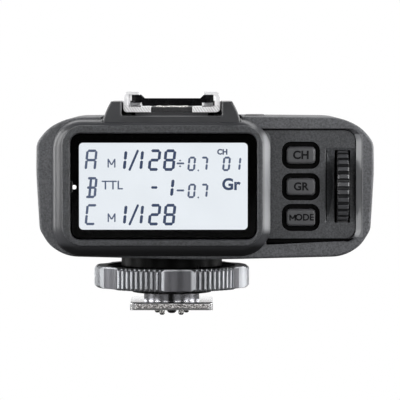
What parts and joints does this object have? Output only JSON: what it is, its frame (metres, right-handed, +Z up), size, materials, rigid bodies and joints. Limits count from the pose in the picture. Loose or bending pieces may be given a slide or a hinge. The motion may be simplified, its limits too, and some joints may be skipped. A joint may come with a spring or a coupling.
{
  "type": "wireless flash trigger",
  "caption": "Hot-shoe radio flash trigger with lit segment display, three buttons, thumb dial, pass-through flash shoe, side battery door and a knurled lock ring over a sprung-contact foot.",
  "frame": {"origin": "centre of the mounting foot's underside", "axes": "+Z up out of the camera's shoe, +Y from the display towards the focus lamp, +X towards the switch side"},
  "size_m": [0.0751, 0.072, 0.0505],
  "materials": {
    "textured_plastic": "fine spark-eroded texture",
    "satin_black_plastic": "satin",
    "gloss_black_plastic": "gloss",
    "button_plastic": "satin",
    "window_glass": "clear gloss",
    "black_film": "gloss print",
    "lcd_panel": "lit segment display",
    "light_guide": "clear moulded",
    "inner_plastic": "moulded",
    "flex_film": "amber film",
    "circuit_board": "solder mask",
    "chip_epoxy": "moulded",
    "contact_block": "moulded",
    "chrome_steel": "satin chrome",
    "zinc_steel": "plated",
    "spring_steel": "bright",
    "silver_brass": "nickel flash",
    "screw_steel": "dark plated",
    "gunmetal": "satin anodised",
    "black_steel": "black",
    "cell_jacket": "printed sleeve",
    "jack_plastic": "moulded",
    "red_window": "dark red, clear gloss"
  },
  "bodies": {
    "housing": {"af_led": "red_window", "af_lens": "red_window", "antenna": "zinc_steel", "battery_cells": "cell_jacket", "battery_contacts": "zinc_steel", "battery_springs": "zinc_steel", "battery_tray": "inner_plastic", "bottom_collar": "gloss_black_plastic", "case_screws": "screw_steel", "centre_pin_spring": "zinc_steel", "data_pin_springs": "zinc_steel", "dial_cradle": "satin_black_plastic", "display_window": "window_glass", "door_hinge_pin": "zinc_steel", "encoder_body": "inner_plastic", "foot_insulator": "contact_block", "foot_screws": "screw_steel", "indicator_pipe": "light_guide", "lcd_backlight": "light_guide", "lcd_frame": "inner_plastic", "lcd_glass": "lcd_panel", "lcd_ribbon": "flex_film", "lens_mask": "black_film", "main_housing": "textured_plastic", "main_pcb": "circuit_board", "mounting_foot": "chrome_steel", "pcb_components": "chip_epoxy", "rear_cover": "satin_black_plastic", "rf_shield": "zinc_steel", "shoe_contacts": "silver_brass", "shoe_insulator": "contact_block", "shoe_leaf_springs": "spring_steel", "shoe_rails": "chrome_steel", "shoe_screws": "screw_steel", "shoe_shroud": "satin_black_plastic", "shoe_stop": "gloss_black_plastic", "side_panel": "textured_plastic", "slide_switch_bodies": "inner_plastic", "small_boards": "circuit_board", "status_light_pipe": "light_guide", "stem_plate": "zinc_steel", "sync_jack": "jack_plastic", "tact_switches": "inner_plastic", "test_switch": "inner_plastic", "usb_socket": "zinc_steel"},
    "dial": {"dial_wheel": "gloss_black_plastic", "dial_shaft": "zinc_steel"},
    "channel_key": {"button_channel": "button_plastic"},
    "group_key": {"button_group": "button_plastic"},
    "mode_key": {"button_mode": "button_plastic"},
    "test_key": {"test_button": "button_plastic"},
    "power_switch": {"power_knob": "button_plastic"},
    "af_switch": {"af_knob": "button_plastic"},
    "door": {"battery_door": "textured_plastic", "door_contact": "zinc_steel"},
    "washer": {"pressure_washer": "black_steel", "locking_pin": "black_steel"},
    "ring": {"lock_ring": "gunmetal"},
    "centre_contact": {"centre_pin": "silver_brass"},
    "data_contacts": {"data_pins": "silver_brass"}
  },
  "joints": [
    {"name": "dial_spin", "type": "hinge", "parent": "housing", "child": "dial", "pos_m": [0.0379, -0.013, 0.0282], "axis": [1, 0, 0], "continuous": true},
    {"name": "channel_press", "type": "slide", "parent": "housing", "child": "channel_key", "axis": [0, 1, 0], "range_m": [0, 0.0005], "stiffness_N_per_m": 400, "springref_m": -0.001},
    {"name": "group_press", "type": "slide", "parent": "housing", "child": "group_key", "axis": [0, 1, 0], "range_m": [0, 0.0005], "stiffness_N_per_m": 400, "springref_m": -0.001},
    {"name": "mode_press", "type": "slide", "parent": "housing", "child": "mode_key", "axis": [0, 1, 0], "range_m": [0, 0.0005], "stiffness_N_per_m": 400, "springref_m": -0.001},
    {"name": "test_press", "type": "slide", "parent": "housing", "child": "test_key", "axis": [0, 0, -1], "range_m": [0, 0.0006], "stiffness_N_per_m": 400, "springref_m": -0.00125},
    {"name": "power_slide", "type": "slide", "parent": "housing", "child": "power_switch", "axis": [0, -1, 0], "range_m": [0, 0.0025]},
    {"name": "af_slide", "type": "slide", "parent": "housing", "child": "af_switch", "axis": [0, -1, 0], "range_m": [0, 0.0025]},
    {"name": "door_swing", "type": "hinge", "parent": "housing", "child": "door", "pos_m": [-0.02845, 0.01275, 0.0196], "axis": [0, -1, 0], "range_deg": [0, 90]},
    {"name": "washer_lift", "type": "slide", "parent": "housing", "child": "washer", "axis": [0, 0, 1], "range_m": [-0.0013, 0.001]},
    {"name": "ring_turn", "type": "hinge", "parent": "washer", "child": "ring", "pos_m": [0, 0, 0.0047], "axis": [0, 0, 1], "range_deg": [-312.1, 240.1]},
    {"name": "centre_pin_press", "type": "slide", "parent": "housing", "child": "centre_contact", "axis": [0, 0, 1], "range_m": [0, 0.001], "stiffness_N_per_m": 400, "springref_m": -0.00125, "deforming": ["centre_pin_spring"]},
    {"name": "data_pin_press", "type": "slide", "parent": "housing", "child": "data_contacts", "axis": [0, 0, 1], "range_m": [0, 0.001], "stiffness_N_per_m": 600, "springref_m": -0.00133, "deforming": ["data_pin_springs"]}
  ],
  "couplings": [
    {"joint": "ring_turn", "follows": "washer_lift", "rad_per_m": 4188.8}
  ]
}
